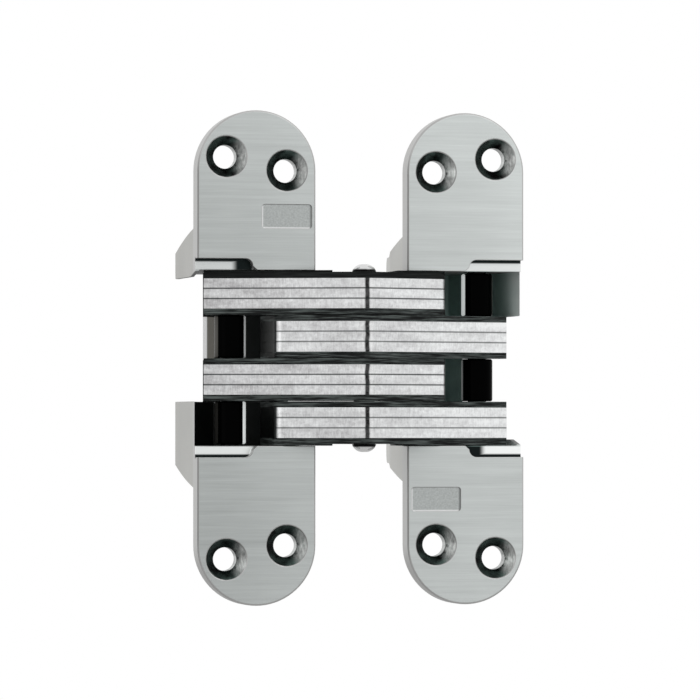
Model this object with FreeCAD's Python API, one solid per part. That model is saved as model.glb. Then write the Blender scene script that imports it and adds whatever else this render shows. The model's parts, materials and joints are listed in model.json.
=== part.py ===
"""Concealed invisible door hinge: two cast leaves joined by two crossing laminated links.

Rest is the open position, both face plates in one plane, facing -Y. Z is along the pins.
The leaf frame used below has x from the leaf's centre line towards the other leaf and y as
depth behind the face plates. The two leaves are one casting, turned half round about Y.
"""
import FreeCAD, Part
import math
import os

V = FreeCAD.Vector
doc = FreeCAD.newDocument("invisible_hinge")
sheet = doc.addObject("Spreadsheet::Sheet", "Sizes")

# Driving dimensions, in millimetres
SIZES = {
    "leaf_length": 117.5,
    "leaf_width": 28.6,
    "face_thick": 5.5,
    "leaf_spread": 51.0,
    "housing_depth": 39.7,
    "housing_front_half": 30.8,
    "housing_mid_half": 28.3,
    "housing_mid_depth": 18.5,
    "housing_back_half": 25.2,
    "housing_bend_depth": 30.0,
    "back_corner_rad": 3.0,
    "housing_inner_side": 12.6,
    "outer_side_depth": 28.6,
    "outer_back_inset": 4.0,
    "inner_side_depth": 26.0,
    "inner_back_inset": 2.2,
    "inner_wall": 3.0,
    "back_wall": 3.7,
    "bridge_front": 24.0,
    "bridge_outer_edge": -2.5,
    "wall_edge_x": -7.0,
    "wall_edge_depth": 31.5,
    "wall_edge_width": 1.5,
    "wall_edge_thick": 2.5,
    "scoop_front": 2.0,
    "scoop_turn_x": -10.9,
    "scoop_turn_depth": 21.5,
    "scoop_back_x": -4.0,
    "scoop_back_wall": 5.7,
    "lip_drop": 1.5,
    "lip_thick": 1.0,
    "lip_front": 1.5,
    "lip_full_depth": 9.4,
    "bright_plate": 2.44,
    "cover_plate": 1.41,
    "row_gap": 0.1,
    "block_clearance": 0.4,
    "pin_forward": 2.5,
    "closed_half_gap": 1.75,
    "knuckle_rad": 4.0,
    "link_reach": 37.15,
    "link_end_depth": 6.3,
    "link_end_face": 3.0,
    "pivot_inset": 8.4,
    "pivot_depth": 18.0,
    "pivot_eye_rad": 3.8,
    "slide_inset": -4.8,
    "slide_depth": 8.4,
    "slide_eye_rad": 3.8,
    "wing_corner_rad": 2.5,
    "centre_pin_rad": 2.5,
    "head_rad": 2.9,
    "head_rise": 1.8,
    "link_pin_rad": 2.2,
    "pin_bevel": 0.4,
    "pin_fit": 0.03,
    "roller_rad": 3.75,
    "roller_bevel": 0.3,
    "slot_clearance": 0.3,
    "pin_socket": 3.0,
    "slot_socket": 2.6,
    "hole_rad": 2.8,
    "sink_rad": 5.05,
    "screw_column": 7.3,
    "outer_screw_inset": 11.05,
    "inner_screw_inset": 14.25,
    "notch_depth": 2.9,
    "notch_height": 2.7,
    "notch_edge": -0.9,
    "notch_round": 1.8,
    "notch_foot": 1.0,
    "panel_width": 12.1,
    "panel_height": 5.7,
    "panel_x": 7.3,
    "panel_z": 33.6,
    "panel_sunk": 0.3,
    "panel_corner_rad": 0.8,
    "edge_break": 0.35,
}
for row, (alias, value) in enumerate(SIZES.items(), start=1):
    sheet.set(f"A{row}", alias)
    sheet.set(f"B{row}", str(value))
    sheet.setAlias(f"B{row}", alias)
doc.recompute()


def size(alias):
    return float(sheet.get(alias))


# Values worked out from the driving dimensions
leaf_x = size("leaf_spread") / 2
half_width = size("leaf_width") / 2
half_length = size("leaf_length") / 2
# Cuts run this far past what they cut
beyond = size("leaf_width")
row_height = 3 * size("bright_plate") + 2 * size("cover_plate")
row_pitch = row_height + size("row_gap")
stack_half = 2 * row_pitch
window_half = stack_half + size("block_clearance")
front_reach = size("pin_forward") + size("knuckle_rad")
# The origin is the middle of the whole hinge, so the face plates stand at this y
face_y = (front_reach - size("housing_depth")) / 2

centre = V(0, -size("pin_forward"), 0)
pivot = V(leaf_x - size("pivot_inset"), size("pivot_depth"), 0)
slider = V(-leaf_x + size("slide_inset"), size("slide_depth"), 0)


def swing_angles():
    """Degrees that a link turns about its pivot, and about the other link, while the hinge closes."""
    across = leaf_x - size("pivot_inset")
    open_depth = size("pivot_depth") + size("pin_forward")
    arm = math.hypot(across, open_depth)
    closed_depth = size("pivot_depth") + size("closed_half_gap")
    swing = math.degrees(math.atan2(across, open_depth) + math.acos(closed_depth / arm))
    return swing, 180 - 2 * swing


def turned(vector, degrees):
    a = math.radians(degrees)
    across, along = vector.x, vector.y
    return V(across * math.cos(a) - along * math.sin(a), across * math.sin(a) + along * math.cos(a), 0)


link_swing, link_cross = swing_angles()


def slider_path(count):
    """Places of the fixed leaf's sliding pin, from open to closed."""
    left_pivot = V(-pivot.x, pivot.y, 0)
    places = []
    for i in range(count):
        share = i / (count - 1)
        pin = left_pivot + turned(centre - left_pivot, -link_swing * share)
        places.append(pin + turned(slider - centre, -(link_swing + link_cross) * share))
    return places


PIECES = []


def finished(feature, label):
    """Registers the feature that is one piece of the hinge."""
    feature.Label = label
    PIECES.append(feature)
    return feature


def put(shape, label):
    """Adds a shape drawn from the face plane, moved to where the origin wants it."""
    piece = doc.addObject("Part::Feature", label)
    piece.Shape = shape
    piece.Placement = FreeCAD.Placement(V(0, face_y, 0), FreeCAD.Rotation()).multiply(shape.Placement)
    return finished(piece, label)


def prism(points, direction):
    return Part.Face(Part.makePolygon(points + [points[0]])).extrude(direction)


def disc(radius, at, low, high):
    return Part.makeCylinder(radius, high - low, V(at.x, at.y, low), V(0, 0, 1))


# Link outline: a knuckle, a long arm to the slider and a wing to the pivot
def tangent_points(c1, r1, c2, r2, side):
    """Ends of the line that touches two circles on one side of the way from c1 to c2."""
    way = c2 - c1
    base = math.atan2(way.y, way.x)
    lean = base + side * math.acos((r1 - r2) / way.Length)
    normal = V(math.cos(lean), math.sin(lean), 0)
    return c1 + normal * r1, c2 + normal * r2


def link_shape(low, high):
    """The link that pivots in the swing leaf and slides in the fixed one, between two heights."""
    knuckle = size("knuckle_rad")
    reach = V(-size("link_reach"), size("link_end_depth"), 0) - centre
    tilt = math.asin(knuckle / reach.Length) + math.atan2(reach.y, -reach.x)
    face_way = V(-math.cos(tilt), math.sin(tilt), 0)
    inward = V(math.sin(tilt), math.cos(tilt), 0)
    end_front = centre + reach
    end_back = end_front + inward * size("link_end_face")
    touch_left = centre - inward * knuckle
    slide_back = tangent_points(centre, knuckle, slider, size("slide_eye_rad"), -1)
    slide_end = slider + face_way * size("slide_eye_rad")
    up = V(0, 0, high - low)
    long_arm = prism([touch_left, end_front, end_back, slide_end, slider, slide_back[1], slide_back[0],
                      centre], up)
    wing_x = pivot.x + size("pivot_eye_rad")
    wing_y = centre.y + (wing_x * math.sin(tilt) - knuckle) / math.cos(tilt)
    touch_right = V(-touch_left.x, touch_left.y, 0)
    pivot_back = tangent_points(centre, knuckle, pivot, size("pivot_eye_rad"), 1)
    wing_front, wing_back = V(wing_x, wing_y, 0), V(wing_x, pivot.y, 0)
    wing = prism([touch_right, wing_front, wing_back, pivot, pivot_back[1], pivot_back[0], centre], up)
    wing = wing.makeFillet(size("wing_corner_rad"), [e for e in wing.Edges if is_upright(e, wing_x, wing_y)])
    eyes = ((centre, knuckle, "centre_pin_rad"), (slider, size("slide_eye_rad"), "link_pin_rad"),
            (pivot, size("pivot_eye_rad"), "link_pin_rad"))
    body = long_arm.fuse([wing] + [disc(outer, at, 0, up.z) for at, outer, bore in eyes]).removeSplitter()
    for at, outer, bore in eyes:
        body = body.cut(disc(size(bore) + size("pin_fit"), at, -up.z, 2 * up.z))
    body.translate(V(0, 0, low))
    return body.removeSplitter()


# Two places closer than this are one
TOUCH = 0.001


def is_upright(edge, x, y):
    first, last = edge.Vertexes[0].Point, edge.Vertexes[-1].Point
    return all(math.hypot(p.x - x, p.y - y) < TOUCH for p in (first, last))


def mirrored(shape):
    return shape.mirror(V(0, 0, 0), V(1, 0, 0))


# Four rows of five plates, top row first
for row in (1, 2, 3, 4):
    top = stack_half - (row - 1) * row_pitch - size("row_gap") / 2
    layers = [("cover_upper", "cover_plate"), ("plate_upper", "bright_plate"),
              ("plate_middle", "bright_plate"), ("plate_lower", "bright_plate"),
              ("cover_lower", "cover_plate")]
    for layer, thickness in layers:
        shape = link_shape(top - size(thickness), top)
        if row in (2, 4):
            shape = mirrored(shape)
        put(shape, f"row{row}_{layer}")
        top -= size(thickness)


# Cast leaf, in the place of the fixed leaf
def stadium(width, length, thick):
    half = width / 2
    straight = length / 2 - half
    outline = [
        Part.LineSegment(V(half, 0, -straight), V(half, 0, straight)),
        Part.Arc(V(half, 0, straight), V(0, 0, straight + half), V(-half, 0, straight)),
        Part.LineSegment(V(-half, 0, straight), V(-half, 0, -straight)),
        Part.Arc(V(-half, 0, -straight), V(0, 0, -straight - half), V(half, 0, -straight)),
    ]
    plate = Part.Face(Part.Wire([g.toShape() for g in outline])).extrude(V(0, thick, 0))
    rim = [e for e in plate.Edges if e.BoundBox.YMax < TOUCH]
    return plate.makeChamfer(size("edge_break"), rim)


def housing():
    """Deep box behind the face plate, drawn in plan and in side view, and the common of the two."""
    depth, inner, front = size("housing_depth"), size("housing_inner_side"), size("face_thick") / 2
    tall, low, corner = size("housing_front_half"), size("housing_back_half"), size("back_corner_rad")
    plan = prism([V(-half_width, front, -tall), V(inner, front, -tall),
                  V(inner, size("inner_side_depth"), -tall),
                  V(inner - size("inner_back_inset"), depth, -tall),
                  V(-half_width + size("outer_back_inset"), depth, -tall),
                  V(-half_width, size("outer_side_depth"), -tall)], V(0, 0, 2 * tall))
    short = corner * (1 - math.sqrt(0.5))
    side = []
    for s in (1, -1):
        shoulder = V(0, size("face_thick"), s * tall)
        middle = V(0, size("housing_mid_depth"), s * size("housing_mid_half"))
        bend = V(0, size("housing_bend_depth"), s * low)
        round_start, round_end = V(0, depth - corner, s * low), V(0, depth, s * (low - corner))
        side += [
            Part.LineSegment(V(0, front, 0), V(0, front, s * tall)),
            Part.LineSegment(V(0, front, s * tall), shoulder),
            Part.Arc(shoulder, middle, bend),
            Part.LineSegment(bend, round_start),
            Part.Arc(round_start, V(0, depth - short, s * (low - short)), round_end),
            Part.LineSegment(round_end, V(0, depth, 0)),
        ]
    wire = Part.Wire(Part.__sortEdges__([g.toShape() for g in side]))
    band = Part.Face(wire).extrude(V(2 * beyond, 0, 0))
    band.translate(V(-beyond, 0, 0))
    return plan.common(band)


def pocket():
    """Room for the folded links: open at the front and the side, with a bridge at the inner back."""
    inner = size("housing_inner_side") - size("inner_wall")
    depth = size("housing_depth")
    back = depth - size("back_wall")
    bridge = size("bridge_outer_edge")
    front = size("bridge_front")
    edge_x, edge_y = size("wall_edge_x"), size("wall_edge_depth")
    open_rows = prism([V(-beyond, -beyond, 0), V(beyond, -beyond, 0), V(beyond, front, 0),
                       V(inner, front, 0), V(inner, back, 0), V(bridge, back, 0), V(edge_x, edge_y, 0),
                       V(edge_x + size("wall_edge_width"), edge_y + size("wall_edge_thick"), 0),
                       V(bridge, depth, 0), V(bridge, depth + beyond, 0), V(-beyond, depth + beyond, 0)],
                      V(0, 0, window_half + row_pitch + size("row_gap") / 2))
    open_rows.translate(V(0, 0, -row_pitch - size("row_gap") / 2))
    scoop_back = depth - size("scoop_back_wall")
    scoop_x = -half_width - size("edge_break")
    walled_row = prism([V(scoop_x, -beyond, 0), V(beyond, -beyond, 0), V(beyond, front, 0),
                        V(inner, front, 0), V(inner, scoop_back, 0), V(size("scoop_back_x"), scoop_back, 0),
                        V(size("scoop_turn_x"), size("scoop_turn_depth"), 0),
                        V(scoop_x, size("scoop_front"), 0)], V(0, 0, window_half - row_pitch))
    walled_row.translate(V(0, 0, -window_half))
    return open_rows, walled_row


def lip():
    """Thin outer wall that hangs a little below the upper block, outside the reach of the links."""
    top, low = window_half + size("lip_drop"), window_half - size("lip_drop")
    front, full, rear = size("lip_front"), size("lip_full_depth"), size("outer_side_depth")
    side_view = ((front, window_half), (full, low), (rear, low), (rear, top), (full, top), (front, top))
    return prism([V(-half_width, y, z) for y, z in side_view], V(size("lip_thick"), 0, 0))


SLOT_POINTS = 9


def slot(socket_low, socket_high):
    """Curved slot that the sliding pin follows, as a band about its path in leaf coordinates."""
    half = size("link_pin_rad") + size("slot_clearance")
    path = [p + V(leaf_x, 0, 0) for p in slider_path(SLOT_POINTS)]
    curve = Part.BSplineCurve()
    curve.interpolate(path)
    sides = []
    for sign in (1, -1):
        points = []
        for i in range(SLOT_POINTS):
            share = i / (SLOT_POINTS - 1)
            t = curve.FirstParameter + (curve.LastParameter - curve.FirstParameter) * share
            tangent = curve.tangent(t)[0]
            points.append(curve.value(t) + V(-tangent.y, tangent.x, 0) * half * sign)
        side = Part.BSplineCurve()
        side.interpolate(points)
        sides.append((side, points))
    (left, lp), (right, rp) = sides
    start = Part.LineSegment(lp[0], rp[0])
    end = Part.LineSegment(lp[-1], rp[-1])
    wire = Part.Wire(Part.__sortEdges__([left.toShape(), right.toShape(), start.toShape(), end.toShape()]))
    band = Part.Face(wire).extrude(V(0, 0, socket_high - socket_low))
    band.translate(V(0, 0, socket_low))
    ends = [disc(half, p, socket_low, socket_high) for p in (path[0], path[-1])]
    return band.fuse(ends)


def notch():
    """Shallow step at the outer edge of a tongue, where the centre pin's head lies when closed."""
    low, high = window_half - size("notch_height"), window_half + size("notch_height")
    edge, bend = size("notch_edge"), size("notch_round")
    foot = edge + size("notch_foot")
    short = bend * (1 - math.sqrt(0.5))
    side, top = V(edge, 0, high - bend), V(edge - bend, 0, high)
    outline = [
        Part.LineSegment(V(-beyond, 0, low), V(foot, 0, low)),
        Part.LineSegment(V(foot, 0, low), V(foot, 0, window_half)),
        Part.LineSegment(V(foot, 0, window_half), side),
        Part.Arc(side, V(edge - short, 0, high - short), top),
        Part.LineSegment(top, V(-beyond, 0, high)),
        Part.LineSegment(V(-beyond, 0, high), V(-beyond, 0, low)),
    ]
    cut = Part.Face(Part.Wire([g.toShape() for g in outline])).extrude(V(0, beyond + size("notch_depth"), 0))
    cut.translate(V(0, -beyond, 0))
    return cut


def screw_hole(x, z):
    sink = size("sink_rad") - size("hole_rad")
    over = size("edge_break")
    bore = Part.makeCylinder(size("hole_rad"), size("face_thick") + 2 * over, V(x, -over, z), V(0, 1, 0))
    cone = Part.makeCone(size("sink_rad") + over, size("hole_rad"), sink + over, V(x, -over, z), V(0, 1, 0))
    return bore.fuse(cone)


def leaf():
    plate = stadium(size("leaf_width"), size("leaf_length"), size("face_thick"))
    cast = plate.fuse(housing()).removeSplitter()
    for cut in pocket():
        cast = cast.cut(cut)
    cast = cast.fuse(lip()).removeSplitter()
    step = notch()
    cast = cast.cut(step).cut(step.mirror(V(0, 0, 0), V(0, 0, 1)))
    column = size("screw_column")
    for side, inset in ((-1, "outer_screw_inset"), (1, "inner_screw_inset")):
        for s in (1, -1):
            cast = cast.cut(screw_hole(side * column, s * (half_length - size(inset))))
    pivot_at = V(size("pivot_inset"), size("pivot_depth"), 0)
    socket = window_half + size("pin_socket")
    cast = cast.cut(disc(size("link_pin_rad") + size("pin_fit"), pivot_at, -socket, socket))
    groove = window_half + size("slot_socket")
    inside = window_half - size("notch_height")
    for low, high in ((inside, groove), (-groove, -inside)):
        cast = cast.cut(slot(low, high))
    sunk = size("panel_sunk")
    corner = V(size("panel_x") - size("panel_width") / 2, -sunk, size("panel_z") - size("panel_height") / 2)
    panel = Part.makeBox(size("panel_width"), 2 * sunk, size("panel_height"), corner)
    uprights = [e for e in panel.Edges if abs(e.tangentAt(e.FirstParameter).y) > 0.5]
    panel = panel.makeFillet(size("panel_corner_rad"), uprights)
    cast = cast.cut(panel).removeSplitter()
    cast.translate(V(-leaf_x, 0, 0))
    return cast


fixed_leaf = leaf()
put(fixed_leaf, "fixed_leaf")
swing_leaf = fixed_leaf.copy()
swing_leaf.rotate(V(0, 0, 0), V(0, 1, 0), 180)
put(swing_leaf, "swing_leaf")


# Pins and rollers
def turned_body(label, profile, at):
    """Part turned about Z: a PartDesign body with a half section revolved about its axis."""
    body = doc.addObject("PartDesign::Body", label)
    sketch = body.newObject("Sketcher::SketchObject", label + "_section")
    plane = next(f for f in body.Origin.OriginFeatures if f.Role == "XZ_Plane")
    sketch.AttachmentSupport = [(plane, "")]
    sketch.MapMode = "FlatFace"
    for piece in profile:
        sketch.addGeometry(piece)
    turn = body.newObject("PartDesign::Revolution", label + "_turned")
    turn.Profile = sketch
    turn.ReferenceAxis = (sketch, ["V_Axis"])
    turn.Angle = 360
    body.Placement = FreeCAD.Placement(V(at.x, at.y + face_y, 0), FreeCAD.Rotation())
    return finished(body, label)


def lines(points):
    return [Part.LineSegment(V(*a, 0), V(*b, 0)) for a, b in zip(points, points[1:] + points[:1])]


def rivet_section():
    """Shank through the stack and a domed head at each end."""
    shank, head, rise = size("centre_pin_rad"), size("head_rad"), size("head_rise")
    end = stack_half
    section = [
        Part.LineSegment(V(0, -end - rise, 0), V(0, end + rise, 0)),
        Part.LineSegment(V(head, end, 0), V(shank, end, 0)),
        Part.LineSegment(V(shank, end, 0), V(shank, -end, 0)),
        Part.LineSegment(V(shank, -end, 0), V(head, -end, 0)),
    ]
    for s in (1, -1):
        tip = V(0, s * (end + rise), 0)
        bulge = V(head * math.sqrt(0.5), s * (end + rise * math.sqrt(0.5)), 0)
        section.append(Part.Arc(tip, bulge, V(head, s * end, 0)))
    return section


def rod_section(radius, half):
    bevel = size("pin_bevel")
    return lines([(0, -half), (radius - bevel, -half), (radius, -half + bevel), (radius, half - bevel),
                  (radius - bevel, half), (0, half)])


turned_body("centre_pin", rivet_section(), centre)
pin_half = window_half + size("pin_socket")
slide_half = window_half + size("slot_socket") - size("slot_clearance")
turned_body("fixed_pivot_pin", rod_section(size("link_pin_rad"), pin_half), V(-pivot.x, pivot.y, 0))
turned_body("swing_pivot_pin", rod_section(size("link_pin_rad"), pin_half), pivot)
turned_body("fixed_slide_pin", rod_section(size("link_pin_rad"), slide_half), slider)
turned_body("swing_slide_pin", rod_section(size("link_pin_rad"), slide_half), V(-slider.x, slider.y, 0))


def roller_section(row):
    middle = stack_half - (row - 0.5) * row_pitch
    half = row_height / 2
    bore = size("link_pin_rad") + size("pin_fit")
    outer, bevel = size("roller_rad"), size("roller_bevel")
    return lines([(bore, middle - half), (outer - bevel, middle - half), (outer, middle - half + bevel),
                  (outer, middle + half - bevel), (outer - bevel, middle + half), (bore, middle + half)])


for row, at in ((1, V(-slider.x, slider.y, 0)), (2, slider), (3, V(-slider.x, slider.y, 0)), (4, slider)):
    turned_body(f"row{row}_roller", roller_section(row), at)

doc.recompute()
for made in doc.Objects:
    if "Invalid" in made.State or "Error" in made.State:
        raise RuntimeError(f"{made.Label} failed: {made.State}")
os.makedirs("parts", exist_ok=True)
for piece in PIECES:
    shape = piece.Shape
    if shape.isNull() or not shape.isValid() or not shape.Solids:
        raise RuntimeError(f"{piece.Label} has no valid solid")
    shape.exportStep(f"parts/{piece.Label}.step")
print(f"{len(PIECES)} pieces; swing {link_swing:.2f} cross {link_cross:.2f} face_y {face_y:.3f}")
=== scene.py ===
# %% [markdown]
# # A concealed door hinge, open flat
# The hinge comes in as a finished set of solids: two cast leaves, four rows of link plates, pins and
# rollers. This lesson keeps every solid in its place, breaks the sharp edges the way tumbling and
# brushing break them, and gives each metal its own finish. FACE_Y is the plane of the face plates,
# LEAF_X a leaf's centre line, ROW_PITCH the step from one row of plates to the next, and WINDOW half
# the height of the opening that the links run in.

# %% Load the hinge
import json
import math

import bmesh
import bpy
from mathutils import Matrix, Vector

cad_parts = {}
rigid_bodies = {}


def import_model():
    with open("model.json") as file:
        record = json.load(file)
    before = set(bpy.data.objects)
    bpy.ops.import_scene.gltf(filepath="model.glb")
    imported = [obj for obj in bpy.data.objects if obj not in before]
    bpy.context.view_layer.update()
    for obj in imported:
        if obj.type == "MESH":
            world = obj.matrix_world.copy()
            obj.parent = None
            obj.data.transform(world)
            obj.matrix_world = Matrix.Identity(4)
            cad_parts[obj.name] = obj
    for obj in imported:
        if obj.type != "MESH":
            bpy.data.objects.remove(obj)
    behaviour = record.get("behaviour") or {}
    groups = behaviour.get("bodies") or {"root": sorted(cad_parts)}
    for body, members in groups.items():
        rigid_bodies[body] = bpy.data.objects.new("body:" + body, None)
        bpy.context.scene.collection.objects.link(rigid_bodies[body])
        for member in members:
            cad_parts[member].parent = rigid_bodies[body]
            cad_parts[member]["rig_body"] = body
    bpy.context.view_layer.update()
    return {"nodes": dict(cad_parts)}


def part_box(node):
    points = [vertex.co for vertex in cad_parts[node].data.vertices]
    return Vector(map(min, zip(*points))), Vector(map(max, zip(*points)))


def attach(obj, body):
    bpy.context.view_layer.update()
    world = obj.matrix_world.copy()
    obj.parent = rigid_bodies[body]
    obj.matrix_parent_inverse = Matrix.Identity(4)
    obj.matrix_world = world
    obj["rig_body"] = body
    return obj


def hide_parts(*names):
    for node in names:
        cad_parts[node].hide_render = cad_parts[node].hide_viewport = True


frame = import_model()
MM = 0.001
FACE_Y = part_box("fixed_leaf")[0].y
LEAF_X = sum(corner.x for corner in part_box("swing_leaf")) / 2
ROW_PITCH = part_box("row1_cover_upper")[1].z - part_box("row2_cover_upper")[1].z
STACK_ROOM = 0.4 * MM
WINDOW = 2 * ROW_PITCH + STACK_ROOM
print("solids loaded:", len(frame["nodes"]), "face plane at", round(FACE_Y / MM, 2), "mm")
print("row pitch", round(ROW_PITCH / MM, 3), "mm, window", round(WINDOW / MM, 3), "mm")

# %% [markdown]
# ## The camera
# The photograph is a long-lens product shot, taken a little from the left and at mid height, so the
# left sides of both leaves show. The numbers were solved from the screw holes, the plate edges and
# the link ends, and the small shift only centres the hinge as the picture has it.

# %% Camera
CAMERA_AZIMUTH = math.radians(12.5)
CAMERA_RISE = math.radians(0.78)
CAMERA_DISTANCE = 1.226
FOCAL_PIXELS = 5082
FRAME_PIXELS = 700
MIDDLE_PIXEL = (-3.3, 9.1)

view_way = Vector((math.sin(CAMERA_AZIMUTH) * math.cos(CAMERA_RISE),
                   math.cos(CAMERA_AZIMUTH) * math.cos(CAMERA_RISE), math.sin(CAMERA_RISE)))
camera_data = bpy.data.cameras.new("camera")
camera = bpy.data.objects.new("camera", camera_data)
bpy.context.scene.collection.objects.link(camera)
camera.location = -view_way * CAMERA_DISTANCE
camera.rotation_euler = view_way.to_track_quat("-Z", "Y").to_euler()
camera_data.sensor_width = 36
camera_data.lens = FOCAL_PIXELS * camera_data.sensor_width / FRAME_PIXELS
camera_data.shift_x = -MIDDLE_PIXEL[0] / FRAME_PIXELS
camera_data.shift_y = MIDDLE_PIXEL[1] / FRAME_PIXELS
camera_data.clip_end = 20
bpy.context.scene.camera = camera
print("lens", round(camera_data.lens), "mm")

# %% [markdown]
# ## Shader maths as plain expressions
# A brushed or sheared finish is mostly arithmetic on a few noise values. A small class wraps a
# socket, so `1 - mask * 0.4` adds its own Math nodes and a finish reads like a formula.


# %% Socket arithmetic
class Wire:
    """One value running through a node tree."""

    def __init__(self, finish, socket):
        self.finish = finish
        self.socket = socket

    def _join(self, operation, first, second=None):
        inputs = {0: first} if second is None else {0: first, 1: second}
        return self.finish.node("ShaderNodeMath", {"operation": operation}, inputs)

    def __add__(self, other):
        return self._join("ADD", self, other)

    def __radd__(self, other):
        return self._join("ADD", other, self)

    def __sub__(self, other):
        return self._join("SUBTRACT", self, other)

    def __rsub__(self, other):
        return self._join("SUBTRACT", other, self)

    def __mul__(self, other):
        return self._join("MULTIPLY", self, other)

    def __mod__(self, other):
        return self._join("FLOORED_MODULO", self, other)

    def __neg__(self):
        return self._join("MULTIPLY", self, -1.0)

    def __abs__(self):
        return self._join("ABSOLUTE", self)

    def __pow__(self, other):
        return self._join("POWER", self, other)

    def sign(self):
        return self._join("SIGN", self)

    def most(self, other):
        return self._join("MAXIMUM", self, other)


# %% One method for any node
class Finish:
    """A material with a Principled surface, and the one way that its nodes are added."""

    def __init__(self, name):
        self.material = bpy.data.materials.new(name)
        self.material.use_nodes = True
        self.tree = self.material.node_tree
        self.tree.nodes.clear()
        self.surface = self.tree.nodes.new("ShaderNodeBsdfPrincipled")
        output = self.tree.nodes.new("ShaderNodeOutputMaterial")
        self.tree.links.new(self.surface.outputs["BSDF"], output.inputs["Surface"])

    def node(self, kind, settings=None, inputs=None, output=0):
        """Adds a node, sets it, feeds it and gives back one of its outputs."""
        made = self.tree.nodes.new(kind)
        for key, value in (settings or {}).items():
            setattr(made, key, value)
        for key, value in (inputs or {}).items():
            self.feed(made.inputs[key], value)
        return Wire(self, made.outputs[output])

    def feed(self, socket, value):
        if isinstance(value, Wire):
            self.tree.links.new(value.socket, socket)
        else:
            socket.default_value = value

    def look(self, **values):
        for name, value in values.items():
            self.feed(self.surface.inputs[name.replace("_", " ")], value)
        return self.material

    def parts_of(self, vector):
        """A vector's three parts, each as a value of its own."""
        split = self.node("ShaderNodeSeparateXYZ", inputs={0: vector}).socket.node
        return [Wire(self, split.outputs[i]) for i in range(3)]

    def grain(self, point, scale, detail, rough):
        """Noise, stretched by a scale of its own along each axis."""
        stretched = self.node("ShaderNodeMapping", inputs={"Vector": point, "Scale": scale})
        inputs = {"Vector": stretched, "Scale": 1.0, "Detail": detail, "Roughness": rough}
        return self.node("ShaderNodeTexNoise", inputs=inputs)

    def soft_step(self, value, low, high):
        """0 at low, 1 at high, smooth between. With high below low it falls."""
        return self.node("ShaderNodeMapRange", {"interpolation_type": "SMOOTHSTEP"},
                         {"Value": value, "From Min": low, "From Max": high})

    def mix(self, factor, first, second):
        made = self.node("ShaderNodeMix", {"data_type": "RGBA"}, {"Factor": factor}).socket.node
        self.feed(made.inputs[6], first)
        self.feed(made.inputs[7], second)
        return Wire(self, made.outputs[2])

    def bump(self, height, distance):
        inputs = {"Height": height, "Distance": distance, "Strength": 0.5}
        return self.node("ShaderNodeBump", inputs=inputs)


# %% Where a point lies, and plain colours
class Spot:
    """A point of a piece: its place in metres, and the way that the surface faces there."""

    def __init__(self, finish):
        self.point = finish.node("ShaderNodeTexCoord", output="Object")
        self.x, self.y, self.z = finish.parts_of(self.point)
        self.out, self.height = abs(self.x), abs(self.z)
        seen = finish.node("ShaderNodeNewGeometry", output="Normal")
        settings = {"vector_type": "NORMAL", "convert_from": "WORLD", "convert_to": "OBJECT"}
        normal = finish.node("ShaderNodeVectorTransform", settings, {0: seen})
        self.n_x, self.n_y, self.n_z = finish.parts_of(normal)


def grey(value, tint=(1, 1, 1)):
    """A grey colour, or a tinted one."""
    return (value * tint[0], value * tint[1], value * tint[2], 1)


print("shader helpers ready")

# %% [markdown]
# ## Satin cast leaves
# The leaves are zinc castings, plated and then brushed from side to side across the face. Only the
# faces that the belt touches carry the lines, so their mask comes from the surface normal. The face
# and the cast housing are painted lighter towards the right as painted light, and the plate's
# chamfers that face left carry a painted shade line. The ledges beside the links and the screw seats
# are left polished from plating. The seats carry painted shade on one side and a painted highlight on
# the other, the ledges a painted shadow in their corners, and the sunk panels a painted highlight and
# painted shade on their edges. The pocket behind the links is painted dark, as painted shade. Each of
# those places is a mask worked out from where the point lies on the leaf. Both leaves share the
# finish, because they are one casting turned round. The wall behind the left leaf's second row has a
# pale rim, which glows a little: it is a painted reflection of a room that isn't known.

# %% Where a point lies on a leaf
HALF_WIDTH = 14.3 * MM
SCREW_COLUMN = 7.3 * MM
SCREWS = ((SCREW_COLUMN, 47.7 * MM), (-SCREW_COLUMN, 44.5 * MM))
SEAT_RADIUS = 5.05 * MM
LEDGE_DEPTH = 2.9 * MM
PANEL_X = LEAF_X - 7.3 * MM
PANEL_Z = 33.6 * MM
PANEL_HALF_WIDTH = 6.05 * MM
PANEL_HALF_HEIGHT = 2.85 * MM
SQUARE_MM = MM * MM


def behind_face(finish, spot, low, high):
    """0 at the first depth behind the face plates and 1 at the second. Both are in mm."""
    return finish.soft_step(spot.y, FACE_Y + low * MM, FACE_Y + high * MM)


def off_centre(finish, spot, low, high):
    """The same, for the distance outwards from the leaf's centre line."""
    return finish.soft_step(spot.out, LEAF_X + low * MM, LEAF_X + high * MM)


def past_window(finish, spot, low, high):
    """The same, for the distance above or below the window that the links run in."""
    return finish.soft_step(spot.height, WINDOW + low * MM, WINDOW + high * MM)


def on_panel_quarter(finish, spot):
    """1 on the left leaf's top half and the right leaf's bottom half, where the panels are."""
    return finish.soft_step(spot.x * spot.z, 0.0, -60 * SQUARE_MM)


# %% Masks on a leaf
def in_screw_seat(finish, spot):
    """1 on the countersinks, worked out from how far a point is inside the nearest one's rim."""
    reach = None
    for column, half in SCREWS:
        across = spot.out - (LEAF_X + column)
        along = spot.height - half
        inside = SEAT_RADIUS - (across * across + along * along) ** 0.5
        reach = inside if reach is None else reach.most(inside)
    within = finish.soft_step(reach, 0.05 * MM, 0.3 * MM) * finish.soft_step(spot.n_y, 0.6, 0.3)
    return within * behind_face(finish, spot, 0.05, 0.25)


def in_pocket(finish, spot):
    """1 on the pocket's own walls, 0 on what faces away from the leaf's middle or backwards."""
    within = past_window(finish, spot, 0.3, 0)
    deep = behind_face(finish, spot, 1.2, 4.5)
    n_out = spot.n_x * spot.x.sign()
    away = finish.soft_step((spot.out - LEAF_X) * n_out, 3 * MM, 6 * MM)
    return within * deep * (1 - away) * (1 - finish.soft_step(spot.n_y, 0.15, 0.4))


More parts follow.
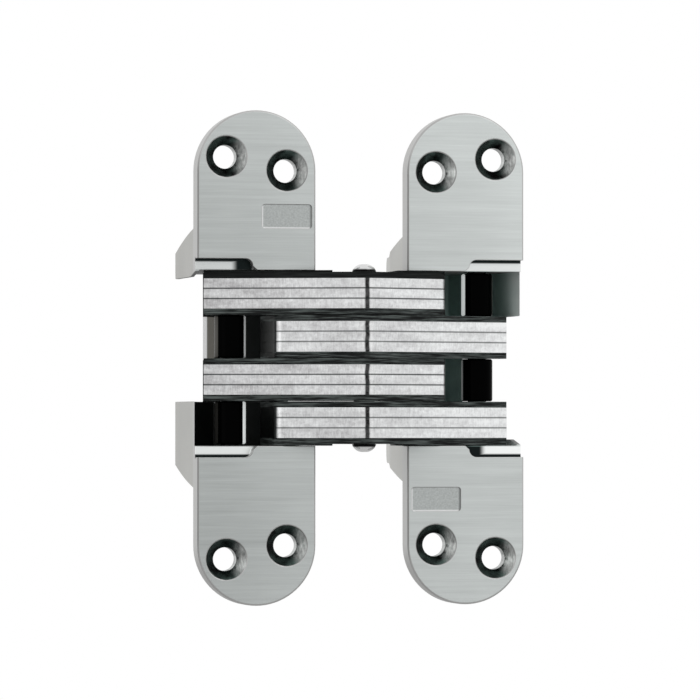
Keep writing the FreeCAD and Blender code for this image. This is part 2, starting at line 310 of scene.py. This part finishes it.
def on_ledge(finish, spot):
    """1 on the floor of the ledge that clears the rivet head when the hinge is shut."""
    floor = FACE_Y + LEDGE_DEPTH
    level = finish.soft_step(abs(spot.y - floor), 0.5 * MM, 0.1 * MM)
    return level * off_centre(finish, spot, 0.2, 0.8) * past_window(finish, spot, 3.2, 2.9)


def in_panel(finish, spot):
    """1 on the floor of the blank sunk panel, which each leaf has once."""
    from_middle, from_level = abs(spot.out - PANEL_X), abs(spot.height - PANEL_Z)
    across = finish.soft_step(from_middle, PANEL_HALF_WIDTH, PANEL_HALF_WIDTH - 0.05 * MM)
    along = finish.soft_step(from_level, PANEL_HALF_HEIGHT, PANEL_HALF_HEIGHT - 0.05 * MM)
    near_face = behind_face(finish, spot, 0.1, 0.2) * behind_face(finish, spot, 1.4, 1.0)
    return on_panel_quarter(finish, spot) * across * along * near_face


def panel_edges(finish, spot):
    """Two values: 1 on the panel's edges that take a painted highlight, and 1 on the edge that takes
    painted shade.
    """
    side, end = PANEL_HALF_WIDTH, PANEL_HALF_HEIGHT
    across = spot.x - spot.x.sign() * PANEL_X
    along = spot.z - spot.z.sign() * PANEL_Z
    left = finish.soft_step(-across, side - 0.5 * MM, side - 0.2 * MM)
    bottom = finish.soft_step(-along, end - 0.45 * MM, end - 0.15 * MM)
    right = finish.soft_step(across, side - 0.6 * MM, side - 0.25 * MM)
    return left.most(bottom), right


def back_wall(finish, spot):
    """Two values for the wall behind the left leaf's second row: its rim, and what lies beside it."""
    row_two = finish.soft_step(spot.z, -0.3 * MM, 0) * finish.soft_step(spot.z, 10.5 * MM, 10.2 * MM)
    back = behind_face(finish, spot, 25, 27) * row_two
    rim = back * finish.soft_step(-spot.x, LEAF_X + 5.5 * MM, LEAF_X + 5.9 * MM)
    beside = back * finish.soft_step(-spot.x, LEAF_X + 3.2 * MM, LEAF_X + 3.6 * MM)
    return rim, beside


# %% The metal in each place
COOL = (0.952, 1.0, 0.985)
WARM = (1, 0.96, 0.86)


def plated(finish, spot, front, streaks, cloud, speck):
    """The brushed face, the edge of the plate and the rough cast housing."""
    # Painted light: the face is painted lighter to the right, upwards and towards both ends.
    drift = spot.x * 6.5 + spot.z * 1.6 + spot.height * 2.2
    tone = 0.42 + streaks * front + (cloud - 0.5) * 0.35 + drift
    brushed = finish.mix(tone, grey(0.40, COOL), grey(0.72, COOL))
    # Painted light: the cast housing is painted lighter to the right as well.
    cast_tone = (cloud - 0.5) * 0.8 + (speck - 0.5) * 0.6 + spot.x * 8.0 + 0.64
    cast = finish.mix(cast_tone, grey(0.35, (1, 1, 0.95)), grey(0.52, (1, 1, 0.96)))
    plate_side = behind_face(finish, spot, 6.2, 5.2)
    sides = finish.mix(plate_side, cast, grey(0.47, (1, 0.998, 0.985)))
    # Painted shade: a dark line on the plate's chamfers that face left, faint on the round ends.
    chamfer = finish.soft_step(-spot.n_y, 0.3, 0.5) * finish.soft_step(-spot.n_y, 0.97, 0.88)
    straight = finish.soft_step(spot.height, 51 * MM, 43 * MM)
    rim = chamfer * plate_side * finish.soft_step(-spot.n_x, 0.15, 0.45) * (0.2 + straight * 0.8)
    return finish.mix(rim * 0.75, finish.mix(front, sides, brushed), grey(0.14))


def panel_metal(finish, spot, cloud, speck):
    """Blasted, with a painted highlight on the edges left and below and painted shade on the right edge.
    """
    painted_highlight_edge, painted_shade_edge = panel_edges(finish, spot)
    blasted = finish.mix(speck, grey(0.22, COOL), grey(0.62, COOL))
    blasted = finish.mix(painted_highlight_edge * 0.8, blasted, grey(0.85))
    return finish.mix(painted_shade_edge * (0.4 + cloud * 0.6), blasted, grey(0.08, COOL))


def seat_metal(finish, spot):
    """Painted shade where the countersink faces right, and a streaked painted highlight where it faces
    left.
    """
    lit = finish.soft_step(-spot.n_x, 0.25, 0.62)
    swirl = finish.grain(spot.point, (420, 420, 420), 2.0, 0.5)
    marks = finish.grain(spot.point, (2600, 300, 700), 3.0, 0.6)
    shade = finish.mix((swirl - 0.5) * 2.4 + 0.4, grey(0.008), grey(0.11, (0.76, 1.1, 1.0)))
    lit_share = lit * (0.35 + swirl * 0.5 + (marks - 0.5) * 1.2)
    return finish.mix(lit_share, shade, grey(0.56, (0.98, 1, 0.98)))


def ledge_metal(finish, spot):
    """Bright, with a painted shadow in its corner and at its blind end."""
    corner = past_window(finish, spot, 1.75, 2.2)
    blind_end = on_panel_quarter(finish, spot) * off_centre(finish, spot, 5.8, 4.0)
    # Painted light: the ledges are painted lighter to the right and lower down.
    tone = 0.5 + spot.x * 6.0 - spot.z * 10.0
    bright = finish.mix(tone, grey(0.62, (0.965, 1, 0.99)), grey(0.98, (0.98, 1, 0.99)))
    return finish.mix(corner.most(blind_end), bright, grey(0.012, (0.8, 1.1, 1.1)))


def pocket_metal(finish, spot, speck, rim, beside):
    """Painted shade: nearly black on the left leaf, blue-green on the right one."""
    patchy = finish.grain(spot.point, (150, 150, 150), 2.0, 0.5)
    # Painted light: the right leaf's pocket is painted lighter than the left one's, its top row lighter
    # still.
    near_side = finish.soft_step(spot.x, -10 * MM, 10 * MM)
    top_row = finish.soft_step(spot.z, 9.5 * MM, 10.5 * MM)
    teal_share = patchy * (0.04 + near_side * (1.2 + top_row * 1.8))
    walls = finish.mix(teal_share, grey(0.004), grey(0.42, (0.74, 1.08, 1.0)))
    # Painted shade: the scoop is painted lighter towards the front and towards the leaf's outer edge.
    scoop = off_centre(finish, spot, 10.6, HALF_WIDTH / MM) * behind_face(finish, spot, 20, 6)
    walls = finish.mix(scoop * (0.5 + patchy * 0.8), walls, grey(0.62, (0.93, 1, 0.97)))
    # Painted reflection: the back wall's rim is painted pale and the strip beside it warm grey.
    walls = finish.mix(rim, finish.mix(beside, walls, grey(0.2, WARM)), grey(0.9))
    floors = finish.mix(speck, grey(0.10), grey(0.17, (0.97, 1, 0.98)))
    return finish.mix(finish.soft_step(abs(spot.n_z), 0.6, 0.9), walls, floors)


# %% Satin plating
def satin_plating():
    finish = Finish("satin_plating")
    spot = Spot(finish)
    front = finish.soft_step(-spot.n_y, 0.93, 0.98)
    fine = finish.grain(spot.point, (70, 400, 4200), 5.0, 0.75)
    broad = finish.grain(spot.point, (22, 200, 800), 3.0, 0.6)
    cloud = finish.grain(spot.point, (45, 45, 45), 2.0, 0.5)
    speck = finish.grain(spot.point, (2400, 2400, 2400), 2.0, 0.6)
    streaks = (fine - 0.5) * 0.6 + (broad - 0.5) * 0.5

    panel, seat = in_panel(finish, spot), in_screw_seat(finish, spot)
    ledge, pocket = on_ledge(finish, spot), in_pocket(finish, spot)
    rim, beside = back_wall(finish, spot)
    colour = plated(finish, spot, front, streaks, cloud, speck)
    colour = finish.mix(panel * 0.8, colour, panel_metal(finish, spot, cloud, speck))
    colour = finish.mix(seat, colour, seat_metal(finish, spot))
    colour = finish.mix(ledge, colour, ledge_metal(finish, spot))
    colour = finish.mix(pocket, colour, pocket_metal(finish, spot, speck, rim, beside))

    # Painted reflection: the back wall's rim and the strip beside it glow.
    side_glow = finish.mix(pocket * beside, grey(0), grey(0.09, WARM))
    glow = finish.mix(pocket * rim, side_glow, grey(0.5))
    worn = front * (fine - 0.5) * 0.2 + (speck - 0.5) * 0.06
    rough = 0.42 + worn - seat * 0.16 - ledge * 0.1 + pocket * 0.1
    relief = front * (fine * 0.7 + broad * 0.3) + speck * 0.15
    finish.surface.inputs["Emission Strength"].default_value = 1.0
    return finish.look(Base_Color=colour, Metallic=1 - pocket, Roughness=rough, Emission_Color=glow,
                       Normal=finish.bump(relief, 0.03 * MM))


# %% [markdown]
# ## Bright link plates
# Each plate is blanked from strip, and its sheared edge is what faces the room: bright, with fine
# upright scoring from the punch, and painted lighter towards the right as painted light. The knuckle
# carries a dark line down its middle, with a painted highlight beside it. The bevels between plates
# carry painted shade, and what turns away from the room is painted near black, as painted shade.

# %% Sheared steel
PLATE_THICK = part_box("row1_plate_middle")[1].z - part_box("row1_plate_middle")[0].z


def sheared_steel():
    finish = Finish("sheared_steel")
    spot = Spot(finish)
    front = finish.soft_step(-spot.n_y, 0.35, 0.7)
    corner = finish.soft_step(abs(spot.n_z), 0.06, 0.32)
    scoring = finish.grain(spot.point, (3400, 500, 500), 4.0, 0.75)
    mottle = finish.grain(spot.point, (900, 500, 1300), 4.0, 0.7)
    drift = finish.grain(spot.point, (90, 90, 420), 2.0, 0.5)
    # Painted light: the plates are painted lighter towards the right.
    tone = 0.55 + (scoring - 0.5) + (mottle - 0.5) * 1.1 + (drift - 0.5) * 0.9 + spot.x * 7.5
    bright = finish.mix(tone, grey(0.40, (1, 0.985, 1)), grey(0.92, (0.985, 1.0, 1.0)))
    across = spot.x + (drift - 0.5) * (0.6 * MM)
    # A dark line down the knuckle, and a painted highlight just right of it.
    knuckle_line = finish.soft_step(abs(across + 0.1 * MM), 0.75 * MM, 0.3 * MM)
    painted_glint = finish.soft_step(abs(spot.x - 0.95 * MM), 0.5 * MM, 0.15 * MM)
    highlighted = finish.mix(painted_glint * 0.25, bright, grey(0.9))
    marked = finish.mix(knuckle_line * (0.75 + mottle * 0.4), highlighted, grey(0.012))
    # Painted shade: dark lines on the bevels and at the joins between plates.
    from_row_middle = abs((spot.z + ROW_PITCH * 2) % ROW_PITCH - ROW_PITCH / 2)
    plate_gap_shade = finish.soft_step(abs(from_row_middle - PLATE_THICK / 2), 0.28 * MM, 0.1 * MM)
    edged = finish.mix(corner.most(plate_gap_shade * 0.62), marked, grey(0.03, (0.85, 1.1, 1.06)))
    # Painted shade: what turns away from the front is painted near black.
    colour = finish.mix(front, grey(0.012, (0.85, 1.1, 1.08)), edged)
    rough = 0.34 + (scoring - 0.5) * 0.2 - painted_glint * 0.1
    return finish.look(Base_Color=colour, Metallic=1.0, Roughness=rough,
                       Normal=finish.bump(scoring, 0.03 * MM))


# %% [markdown]
# ## Black parts and pins
# The outer plates of each row are blackened and rubbed, so a few grey streaks run along them, kept
# faint on the top plate as painted shade under the casting. The rollers are black and polished, with a
# painted highlight line where each roller's edge turns inwards and a fainter one on its outer edge. The
# inner line glows a little: it is a painted reflection of a room that isn't known. The pins are plain
# turned steel, painted near black within the stack as painted shade.

# %% Black plates, black rollers and polished pins
TOP_COVER = 18.9 * MM
PIN_FOOT = 21.1 * MM
ROLLER_X = 30.3 * MM
EDGE_LINE = 3.3 * MM


def rubbed_black():
    finish = Finish("rubbed_black")
    spot = Spot(finish)
    rub = finish.grain(spot.point, (120, 120, 2600), 4.0, 0.65)
    worn = finish.soft_step(rub, 0.42, 0.68)
    # Painted shade: the streaks are kept faint on the top plate, under the casting.
    below_top = finish.soft_step(spot.z, TOP_COVER + 0.3 * MM, TOP_COVER - 0.3 * MM)
    streaks = worn * (0.14 + below_top * 0.86)
    colour = finish.mix(streaks, grey(0.006, (0.9, 1.05, 1.05)), grey(0.14, (0.9, 1.04, 1.0)))
    finish.surface.inputs["Specular IOR Level"].default_value = 0.1
    return finish.look(Base_Color=colour, Roughness=0.42 + (rub - 0.5) * 0.25,
                       Normal=finish.bump(rub, 0.02 * MM))


def black_roller():
    """Black, with a painted highlight line on its inner edge and a fainter one on its outer edge."""
    finish = Finish("black_roller")
    spot = Spot(finish)
    spin = finish.grain(spot.point, (200, 200, 3600), 2.0, 0.5)
    end_row = finish.soft_step(spot.height, 10.1 * MM, 10.5 * MM)
    from_middle = abs(spot.x + 0.4 * MM) - end_row * (0.35 * MM)
    inner, outer = ROLLER_X - EDGE_LINE, ROLLER_X + EDGE_LINE
    inner_edge = finish.soft_step(from_middle, inner + 0.1 * MM, inner - 0.1 * MM)
    outer_edge = finish.soft_step(spot.out, outer - 0.1 * MM, outer + 0.1 * MM)
    black = finish.mix(spin, grey(0.0002), grey(0.001, (0.9, 1.05, 1.1)))
    # Painted highlights: a bright line on the inner edge and a fainter warm one on the outer edge.
    lined = finish.mix(inner_edge, black, grey(0.9))
    hidden = end_row * finish.soft_step(spot.x, 0, -1 * MM)
    lined = finish.mix(outer_edge * (0.6 - hidden * 0.45), lined, grey(0.2, (1, 0.96, 0.88)))
    finish.surface.inputs["Specular IOR Level"].default_value = 0.01
    finish.surface.inputs["Emission Strength"].default_value = 1.0
    # Painted reflection: the inner line glows, most on the end rows.
    glow = finish.mix(inner_edge * (0.25 + end_row * 0.75), grey(0), grey(0.4, (0.94, 1, 0.99)))
    return finish.look(Base_Color=lined, Emission_Color=glow, Roughness=0.2 + (spin - 0.5) * 0.1,
                       Normal=finish.bump(spin, 0.01 * MM))


def polished_pin():
    finish = Finish("polished_pin")
    spot = Spot(finish)
    spin = finish.grain(spot.point, (300, 300, 2600), 3.0, 0.6)
    # Painted shade: within the stack the pin is painted near black.
    foot = finish.soft_step(spot.height, PIN_FOOT + 0.2 * MM, PIN_FOOT - 0.2 * MM)
    colour = finish.mix(foot, finish.mix(spin, grey(0.6), grey(0.82)), grey(0.004))
    return finish.look(Base_Color=colour, Metallic=1.0, Roughness=0.24 + (spin - 0.5) * 0.12,
                       Normal=finish.bump(spin, 0.015 * MM))


FINISHES = {"leaf": satin_plating(), "cover": rubbed_black(), "plate": sheared_steel(),
            "roller": black_roller(), "pin": polished_pin()}
print("finishes:", ", ".join(sorted(FINISHES)))

# %% [markdown]
# ## Worn edges
# A drawn solid has perfectly sharp edges, which no real part has. Each piece is copied and welded,
# because the solids come in as loose triangles, and then takes a small bevel. It is widest on the
# bright plates, where it is what parts one plate from the next.

# %% Weld a copy, and soften its edges
BEVELS = {"leaf": 0.2 * MM, "plate": 0.24 * MM, "cover": 0.12 * MM, "roller": 0.12 * MM, "pin": 0.1 * MM}
WELD_REACH = 0.002 * MM
FLAT_ANGLE = math.radians(0.5)
EDGE_ANGLE = math.radians(32)


def welded_copy(source, name):
    """A copy of a solid as one closed skin, shaded smooth."""
    mesh = source.data.copy()
    mesh.name = name
    work = bmesh.new()
    work.from_mesh(mesh)
    bmesh.ops.remove_doubles(work, verts=work.verts, dist=WELD_REACH)
    bmesh.ops.dissolve_limit(work, angle_limit=FLAT_ANGLE, verts=work.verts, edges=work.edges)
    bmesh.ops.recalc_face_normals(work, faces=work.faces)
    for face in work.faces:
        face.smooth = True
    work.to_mesh(mesh)
    work.free()
    mesh.materials.clear()
    piece = bpy.data.objects.new(name, mesh)
    bpy.context.scene.collection.objects.link(piece)
    return piece


def made_plain(piece):
    """Turns the result of a piece's modifiers into its own mesh."""
    graph = bpy.context.evaluated_depsgraph_get()
    mesh = bpy.data.meshes.new_from_object(piece.evaluated_get(graph))
    piece.modifiers.clear()
    piece.data = mesh
    return piece


def soften(piece, kind):
    """Bevels the sharp edges and keeps the flat faces flat."""
    bevel = piece.modifiers.new("edges", "BEVEL")
    bevel.width = BEVELS[kind]
    bevel.segments = 2
    bevel.limit_method = "ANGLE"
    bevel.angle_limit = EDGE_ANGLE
    bevel.miter_outer = "MITER_ARC"
    bevel.use_clamp_overlap = True
    even = piece.modifiers.new("flat faces stay flat", "WEIGHTED_NORMAL")
    even.keep_sharp = False
    even.weight = 80
    return made_plain(piece)


def dress(piece, kind, body, nodes):
    """Gives a piece its finish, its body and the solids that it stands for."""
    piece.data.materials.clear()
    piece.data.materials.append(FINISHES[kind])
    piece.data.polygons.foreach_set("material_index", [0] * len(piece.data.polygons))
    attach(piece, body)
    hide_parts(*nodes)


print("edge widths in mm:", {kind: round(width / MM, 2) for kind, width in BEVELS.items()})

# %% [markdown]
# ## Stacks of plates from one plate
# A link is a pack of equal plates, so one plate is modelled and the rest are copies. Geometry Nodes
# does this well: one line of points stands for the plates of a row, a second for the rows, and each
# point takes a copy. Realize Instances at the end makes them a plain mesh.


# %% The tree that stacks plates
def stack_tree(material):
    """A node tree that repeats a plate along Z, within a row first and then row by row."""
    tree = bpy.data.node_groups.new("plate_stack_" + material.name, "GeometryNodeTree")
    tree.interface.new_socket("Plate", in_out="INPUT", socket_type="NodeSocketGeometry")
    for name, kind in (("Plates in a row", "NodeSocketInt"), ("Plate step", "NodeSocketFloat"),
                       ("Rows", "NodeSocketInt"), ("Row step", "NodeSocketFloat")):
        tree.interface.new_socket(name, in_out="INPUT", socket_type=kind)
    tree.interface.new_socket("Stack", in_out="OUTPUT", socket_type="NodeSocketGeometry")
    start = tree.nodes.new("NodeGroupInput")
    end = tree.nodes.new("NodeGroupOutput")
    stacked = start.outputs["Plate"]
    for count, step in (("Plates in a row", "Plate step"), ("Rows", "Row step")):
        offset = tree.nodes.new("ShaderNodeCombineXYZ")
        line = tree.nodes.new("GeometryNodeMeshLine")
        copies = tree.nodes.new("GeometryNodeInstanceOnPoints")
        plain = tree.nodes.new("GeometryNodeRealizeInstances")
        tree.links.new(start.outputs[step], offset.inputs["Z"])
        tree.links.new(start.outputs[count], line.inputs["Count"])
        tree.links.new(offset.outputs["Vector"], line.inputs["Offset"])
        tree.links.new(line.outputs["Mesh"], copies.inputs["Points"])
        tree.links.new(stacked, copies.inputs["Instance"])
        tree.links.new(copies.outputs["Instances"], plain.inputs["Geometry"])
        stacked = plain.outputs["Geometry"]
    paint = tree.nodes.new("GeometryNodeSetMaterial")
    paint.inputs["Material"].default_value = material
    tree.links.new(stacked, paint.inputs["Geometry"])
    tree.links.new(paint.outputs["Geometry"], end.inputs["Stack"])
    return tree


def stack(piece, tree, **sizes):
    """Runs the tree on one plate, with the counts and steps by name."""
    modifier = piece.modifiers.new("stack", "NODES")
    modifier.node_group = tree
    for item in tree.interface.items_tree:
        key = item.name.replace(" ", "_")
        if item.in_out == "INPUT" and key in sizes:
            modifier[item.identifier] = sizes[key]
    return made_plain(piece)


# %% Link plates, bright and black
def height_of(node):
    """The height of a solid's underside."""
    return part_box(node)[0].z


TREES = {kind: stack_tree(FINISHES[kind]) for kind in ("plate", "cover")}
LAYERS = {"plate": ("plate_upper", "plate_middle", "plate_lower"),
          "cover": ("cover_upper", "cover_lower")}
for link, rows in (("link_one", (1, 3)), ("link_two", (2, 4))):
    for kind, layers in LAYERS.items():
        first = f"row{rows[0]}_{layers[0]}"
        plate_step = height_of(f"row{rows[0]}_{layers[1]}") - height_of(first)
        row_step = height_of(f"row{rows[1]}_{layers[0]}") - height_of(first)
        piece = welded_copy(frame["nodes"][first], f"{link}_{kind}s")
        stack(piece, TREES[kind], Plates_in_a_row=len(layers), Plate_step=plate_step, Rows=len(rows),
              Row_step=row_step)
        soften(piece, kind)
        dress(piece, kind, link, [f"row{row}_{layer}" for row in rows for layer in layers])
        print(piece.name, "plates:", len(layers) * len(rows), "step", round(plate_step / MM, 3), "mm")

# %% [markdown]
# ## Slip shims
# Each end of the stack runs against the casting with a sliver of room, and a thin blackened shim
# fills most of it, so no light shows through. It is cut from the outermost plate's own outline,
# pressed thin, and left away from the rivet head.

# %% Shims at the top and bottom of the stack
SHIM_FROM_MIDDLE = 8 * MM
SHIM_ROOM = 0.06 * MM


def slice_off(work, at, way):
    """Keeps what lies on one side of an upright plane and closes the cut."""
    everything = work.verts[:] + work.edges[:] + work.faces[:]
    bmesh.ops.bisect_plane(work, geom=everything, plane_co=(at, 0, 0), plane_no=(way, 0, 0),
                           clear_inner=True)
    bmesh.ops.holes_fill(work, edges=[edge for edge in work.edges if edge.is_boundary])


def shim(node, body, low, high):
    """The outline of a plate, pressed between two heights, in two halves beside the rivet head."""
    lower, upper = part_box(node)[0].z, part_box(node)[1].z
    piece = welded_copy(frame["nodes"][node], node + "_shim")
    whole = bmesh.new()
    for way in (-1, 1):
        half = bmesh.new()
        half.from_mesh(piece.data)
        slice_off(half, way * SHIM_FROM_MIDDLE, way)
        for vert in half.verts:
            vert.co.z = low + (vert.co.z - lower) / (upper - lower) * (high - low)
        part = bpy.data.meshes.new("half")
        half.to_mesh(part)
        half.free()
        whole.from_mesh(part)
        bpy.data.meshes.remove(part)
    bmesh.ops.recalc_face_normals(whole, faces=whole.faces)
    whole.to_mesh(piece.data)
    whole.free()
    piece.data.materials.append(FINISHES["cover"])
    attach(piece, body)
    print(piece.name, "thick", round((high - low) / MM, 2), "mm")


STACK_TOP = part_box("row1_cover_upper")[1].z
STACK_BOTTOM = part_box("row4_cover_lower")[0].z
shim("row1_cover_upper", "link_one", STACK_TOP, WINDOW - SHIM_ROOM)
shim("row4_cover_lower", "link_two", SHIM_ROOM - WINDOW, STACK_BOTTOM)

# %% [markdown]
# ## Leaves, pins and rollers
# What is left needs no copies. Each leaf, pin and roller is welded and softened, and takes the place
# of its own solid on the body that carries it.

# %% Leaves, pins and rollers
for name, source in frame["nodes"].items():
    kind = name.rsplit("_", 1)[-1]
    if kind in ("leaf", "pin", "roller"):
        piece = soften(welded_copy(source, name + "_finished"), kind)
        dress(piece, kind, source["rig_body"], [name])
        print(piece.name, len(piece.data.polygons), "faces")

# %% [markdown]
# ## Studio
# A pale floor below the frame and broad soft lamps. The world is white to the eye and in every
# reflection, so bright metal shows the white room around it, and it is dimmer as a source of light,
# so that the hollows stay dark.

# %% Floor and world
FLOOR_Z = -0.25
FLOOR_REACH = 1.6
corners = [(x * FLOOR_REACH, y * FLOOR_REACH, FLOOR_Z) for x, y in ((-1, -1), (1, -1), (1, 1), (-1, 1))]
floor_mesh = bpy.data.meshes.new("floor")
floor_mesh.from_pydata(corners, [], [(0, 1, 2, 3)])
floor = bpy.data.objects.new("floor", floor_mesh)
bpy.context.scene.collection.objects.link(floor)
floor_paint = Finish("floor_paint")
floor.data.materials.append(floor_paint.look(Base_Color=grey(0.92), Roughness=0.8))

world = bpy.data.worlds.new("studio")
bpy.context.scene.world = world
world.use_nodes = True
sky = world.node_tree
sky.nodes.clear()
SEEN_STRENGTH = 1.0
LIGHT_STRENGTH = 0.6


def white_room(strength):
    """A white background of its own strength."""
    room = sky.nodes.new("ShaderNodeBackground")
    room.inputs["Color"].default_value = grey(1.0)
    room.inputs["Strength"].default_value = strength
    return room.outputs["Background"]


path = sky.nodes.new("ShaderNodeLightPath")
seen = path.outputs["Is Camera Ray"]
for kind in ("Is Glossy Ray", "Is Transmission Ray"):
    either = sky.nodes.new("ShaderNodeMath")
    either.operation = "MAXIMUM"
    sky.links.new(seen, either.inputs[0])
    sky.links.new(path.outputs[kind], either.inputs[1])
    seen = either.outputs[0]
blend = sky.nodes.new("ShaderNodeMixShader")
sky_out = sky.nodes.new("ShaderNodeOutputWorld")
sky.links.new(seen, blend.inputs[0])
sky.links.new(white_room(LIGHT_STRENGTH), blend.inputs[1])
sky.links.new(white_room(SEEN_STRENGTH), blend.inputs[2])
sky.links.new(blend.outputs[0], sky_out.inputs["Surface"])


# %% Lamps
def lamp(name, place, width, height, power):
    """A soft rectangular lamp that looks at the middle of the hinge."""
    data = bpy.data.lights.new(name, "AREA")
    data.shape = "RECTANGLE"
    data.size = width
    data.size_y = height
    data.energy = power
    light = bpy.data.objects.new(name, data)
    light.location = place
    light.rotation_euler = (-Vector(place)).to_track_quat("-Z", "Y").to_euler()
    bpy.context.scene.collection.objects.link(light)


lamp("high right", (0.6, -0.7, 0.9), 0.5, 0.5, 1.6)
lamp("low left", (-0.9, -0.5, 0.1), 0.5, 0.8, 0.8)
bpy.context.scene.view_settings.view_transform = "Standard"
print("lamps:", len(bpy.data.lights))
